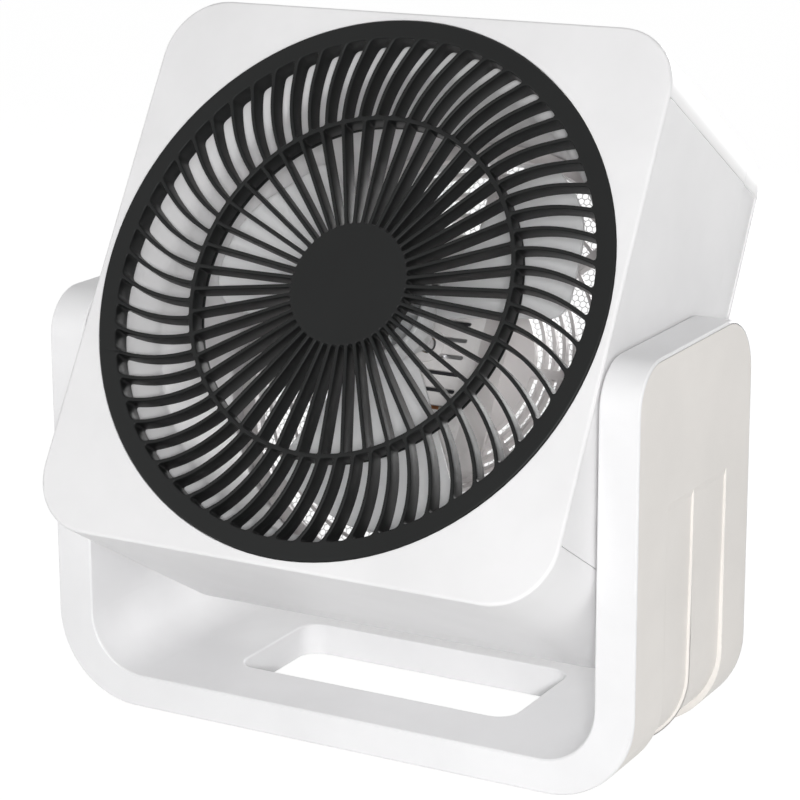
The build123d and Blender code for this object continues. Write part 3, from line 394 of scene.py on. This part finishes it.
def outward(loop):
    """Unit normals that point out of a counter-clockwise loop."""
    count = len(loop)
    normals = []
    for k in range(count):
        along = (loop[(k + 1) % count] - loop[k - 1]).normalized()
        normals.append(Vector((along.y, -along.x)))
    return normals


def quarter_round(radius):
    """Steps of a rounded edge, each as the distance in from the side and back from the front."""
    swings = [math.pi / 2 * k / ROUND_STEPS for k in range(ROUND_STEPS + 1)]
    return [(radius * (1 - math.sin(s)), radius * (1 - math.cos(s))) for s in swings]


def fin_front(r):
    """Depth of the fins' front edges, which climb to the rim."""
    t = min(1.0, max(0.0, (r - (RIM_R - RIM_W - FIN_RISE)) / FIN_RISE))
    return FIN_FRONT + (RIM_FRONT - FIN_FRONT) * t * t * (3 - 2 * t)


def circle_row(bm, radius, depth, count):
    """Vertices of a circle about the grille's axis."""
    points = [polar(radius, FULL_TURN * k / count) for k in range(count)]
    return [bm.verts.new((point.x, depth, point.y)) for point in points]


def bridge(bm, first, second):
    count = len(first)
    for k in range(count):
        bm.faces.new((first[k], first[(k + 1) % count], second[(k + 1) % count], second[k]))


def loop_edges(bm, ring):
    pairs = [(ring[k - 1], ring[k]) for k in range(len(ring))]
    return [bm.edges.get(pair) or bm.edges.new(pair) for pair in pairs]


def add_gap(bm, loop):
    """Walls of one gap between fins, rounded in front. Returns its front and back rows."""
    walls = [(inset, behind, None) for inset, behind in quarter_round(FIN_ROUND)]
    walls += [(-FIN_DRAFT, None, FIN_BACK - FIN_BACK_EDGE), (FIN_BACK_BEVEL, None, FIN_BACK)]
    normals = outward(loop)
    rows = []
    for inset, behind, depth in walls:
        row = []
        for point, normal in zip(loop, normals):
            place = point + normal * inset
            y = depth if behind is None else fin_front(place.length) + behind
            row.append(bm.verts.new((place.x, y, place.y)))
        rows.append(row)
    for first, second in zip(rows, rows[1:]):
        bridge(bm, first, second)
    return rows[0], rows[-1]


def add_rim(bm):
    """Outside of the rim and of the skirt behind it. Returns the rows from front to back."""
    skirt_r = RIM_R - RIM_W + SKIRT_T
    profile = [(RIM_R - inset, RIM_FRONT + behind) for inset, behind in quarter_round(RIM_ROUND)]
    profile += [(RIM_R, RIM_FRONT + RIM_T), (skirt_r, RIM_FRONT + RIM_T), (skirt_r, FIN_BACK)]
    rows = [circle_row(bm, radius, depth, RIM_POINTS) for radius, depth in profile]
    for first, second in zip(rows, rows[1:]):
        bridge(bm, second, first)
    return rows


def add_hub_pocket(bm):
    """Hollow in the back of the hub. Returns its floor and its mouth."""
    depths = (FIN_FRONT + HUB_WALL, FIN_BACK)
    floor, mouth = [circle_row(bm, HUB_R - HUB_WALL, depth, POCKET_POINTS) for depth in depths]
    bridge(bm, floor, mouth)
    return floor, mouth


def add_back_ring(bm):
    """Part of the middle ring that stands out behind the fins, with rounded back edges."""
    near, far = FIN_BACK - RING_SINK, FIN_FRONT + RING_DEPTH
    outer, inner = RING_R - RING_INSET, RING_R - RING_T + RING_INSET
    corner = RING_ROUND * ROUND_CORNER
    profile = [
        (outer, near), (outer, far - RING_ROUND), (outer - corner, far - corner),
        (outer - RING_ROUND, far), (inner + RING_ROUND, far), (inner + corner, far - corner),
        (inner, far - RING_ROUND), (inner, near),
    ]
    rows = [circle_row(bm, radius, depth, RING_POINTS) for radius, depth in profile]
    for k in range(len(rows)):
        bridge(bm, rows[k - 1], rows[k])


def add_hooks(bm):
    """Snap hooks round the back of the skirt."""
    mouth = RIM_R - RIM_W + SKIRT_T - HOOK_SINK
    width, length, reach = HOOK_W, HOOK_L, HOOK_REACH - HOOK_SINK
    for k in range(HOOKS):
        block = bmesh.ops.create_cube(bm, size=1.0)["verts"]
        turn = Matrix.Rotation(FULL_TURN / HOOKS * k, 3, "Y")
        for v in block:
            y = FIN_BACK - length / 2 + v.co.y * length
            v.co = turn @ Vector((v.co.x * width, y, mouth + reach / 2 + v.co.z * reach))
        for edge in {e for v in block for e in v.link_edges}:
            edge.smooth = False


def make_grille(materials):
    """Grille in one mesh: rounded fins, middle ring, hub with a hollow back, rim and skirt."""
    bm = bmesh.new()
    gaps = copies(vane_gap(), VANES) + copies(spoke_gap(), SPOKES)
    walls = [add_gap(bm, loop) for loop in gaps]
    rim = add_rim(bm)
    floor, mouth = add_hub_pocket(bm)
    front = [first for first, last in walls] + [rim[0]]
    back = [last for first, last in walls] + [rim[-1], mouth]
    for rings in (front, back, [floor]):
        edges = [edge for ring in rings for edge in loop_edges(bm, ring)]
        bmesh.ops.triangle_fill(bm, use_beauty=True, edges=edges)
        for edge in edges:
            edge.smooth = False
    for row in rim[ROUND_STEPS:-1]:
        for edge in loop_edges(bm, row):
            edge.smooth = False
    add_back_ring(bm)
    add_hooks(bm)
    black = materials["grille_black"]
    add_piece("grille", bm, "head", black, True, ["front_grille"])


def screen_wires():
    """Ends of every wire of a sheet of hexagons that covers the rear opening."""
    side = SCREEN_PITCH / math.sqrt(3)
    turns = [math.pi / 6 + math.pi / 3 * k for k in range(6)]
    row_pitch = side * 1.5
    rows = int(SCREEN_R / row_pitch) + 2
    columns = int(SCREEN_R / SCREEN_PITCH) + 2
    corners, wires = {}, set()
    for row in range(-rows, rows + 1):
        for column in range(-columns, columns + 1):
            x = (column + (row % 2) / 2) * SCREEN_PITCH
            z = row * row_pitch
            if math.hypot(x, z) > SCREEN_R:
                continue
            ring = []
            for turn in turns:
                at = (x + side * math.cos(turn), z + side * math.sin(turn))
                key = tuple(round(value / side * SCREEN_KEYS) for value in at)
                corners.setdefault(key, at)
                ring.append(key)
            wires.update(tuple(sorted((ring[k - 1], ring[k]))) for k in range(6))
    return [(Vector(corners[a]), Vector(corners[b])) for a, b in sorted(wires)]


def make_screen(materials):
    """Fine six-sided mesh behind the rear guard."""
    bm = bmesh.new()
    half = SCREEN_WIRE / 2
    for start, end in screen_wires():
        along = (end - start).normalized() * half
        across = Vector((-along.y, along.x))
        ends = []
        for point, sign in ((start, -1), (end, 1)):
            at = point + along * sign * WIRE_OVERLAP
            ends.append([
                bm.verts.new((at.x + across.x * u, SCREEN_Y + half * v, at.y + across.y * u))
                for u, v in ((1, 0), (0, -1), (-1, 0), (0, 1))
            ])
        bridge(bm, ends[0], ends[1])
        bm.faces.new(ends[0][::-1])
        bm.faces.new(ends[1])
    add_piece("guard_screen", bm, "head", materials["screen_white"], False)


# ---- stage ----------------------------------------------------------------------------
def maximum(nodes, links, first, second):
    node = nodes.new("ShaderNodeMath")
    node.operation = "MAXIMUM"
    links.new(first, node.inputs[0])
    links.new(second, node.inputs[1])
    return node.outputs[0]


def seen_rays(nodes, links):
    """1 for rays from the camera, off gloss and through clear pieces, and 0 for all others."""
    path = nodes.new("ShaderNodeLightPath").outputs
    other = maximum(nodes, links, path["Is Glossy Ray"], path["Is Transmission Ray"])
    return maximum(nodes, links, path["Is Camera Ray"], other)


def backdrop_material():
    """White floor that the camera and gloss see nearly white, and that still takes a shadow."""
    material, nodes, links = node_tree("floor_paper")
    shader = nodes["Principled BSDF"]
    place = nodes.new("ShaderNodeTexCoord").outputs["Object"]
    paper = noise(nodes, links, place, FLOOR_SCALE, PATCH_DETAIL)
    tone = ranged(nodes, links, paper, *PATCH_GLOSS)
    colour = mixed_colour(nodes, links, tone, FLOOR_DARK, FLOOR_PALE)
    links.new(colour, shader.inputs["Base Color"])
    set_inputs(shader, Roughness=FLOOR_ROUGHNESS)
    share = nodes.new("ShaderNodeMath")
    share.operation = "MULTIPLY"
    share.inputs[1].default_value = FLOOR_SEEN
    links.new(seen_rays(nodes, links), share.inputs[0])
    white = nodes.new("ShaderNodeEmission")
    set_inputs(white, Strength=FLOOR_GLOW)
    mix = nodes.new("ShaderNodeMixShader")
    links.new(share.outputs[0], mix.inputs[0])
    links.new(shader.outputs[0], mix.inputs[1])
    links.new(white.outputs[0], mix.inputs[2])
    links.new(mix.outputs[0], nodes["Material Output"].inputs["Surface"])
    return material


def make_floor():
    mesh = bpy.data.meshes.new("floor")
    corners = [(x * FLOOR_HALF, y * FLOOR_HALF, 0) for x, y in ((-1, -1), (1, -1), (1, 1), (-1, 1))]
    mesh.from_pydata(corners, [], [(0, 1, 2, 3)])
    floor = bpy.data.objects.new("floor", mesh)
    bpy.context.scene.collection.objects.link(floor)
    mesh.materials.append(backdrop_material())


def make_world():
    world = bpy.data.worlds.new("studio")
    bpy.context.scene.world = world
    world.use_nodes = True
    nodes, links = world.node_tree.nodes, world.node_tree.links
    strength = ranged(nodes, links, seen_rays(nodes, links), 0.0, 1.0, WORLD_LIGHT, 1.0)
    links.new(strength, nodes["Background"].inputs["Strength"])
    nodes["Background"].inputs["Color"].default_value = (1, 1, 1, 1)


def make_lamps():
    for name, place, size, watts in LAMPS:
        lamp = bpy.data.lights.new(name, "AREA")
        lamp.shape = "SQUARE"
        lamp.size = size
        lamp.energy = watts
        holder = bpy.data.objects.new(name, lamp)
        bpy.context.scene.collection.objects.link(holder)
        holder.location = place
        aim = LAMP_TARGET - Vector(place)
        holder.rotation_euler = aim.to_track_quat("-Z", "Y").to_euler()


def make_camera():
    yaw_sin, yaw_cos = math.sin(CAMERA_YAW), math.cos(CAMERA_YAW)
    flat, high = math.cos(CAMERA_PITCH), math.sin(CAMERA_PITCH)
    back = Vector((yaw_sin * flat, -yaw_cos * flat, high))
    right = Vector((yaw_cos, yaw_sin, 0.0))
    up = back.cross(right)
    camera = bpy.data.cameras.new("photo_view")
    camera.sensor_width = SENSOR_MM
    camera.lens = FOCAL_PX / FRAME_PX * SENSOR_MM
    camera.shift_x = (FRAME_PX / 2 - PRINCIPAL_PX[0]) / FRAME_PX
    camera.shift_y = (PRINCIPAL_PX[1] - FRAME_PX / 2) / FRAME_PX
    camera.clip_start = CLIP_START
    holder = bpy.data.objects.new("photo_view", camera)
    bpy.context.scene.collection.objects.link(holder)
    facing = Matrix((right, up, back)).transposed().to_4x4()
    holder.matrix_world = Matrix.Translation(PIVOT + CAMERA_FROM_PIVOT) @ facing
    bpy.context.scene.camera = holder


def main():
    bpy.context.scene.view_settings.view_transform = "Standard"
    materials = all_materials()
    dress_frame(materials)
    make_grille(materials)
    make_screen(materials)
    make_floor()
    make_world()
    make_lamps()
    make_camera()


main()
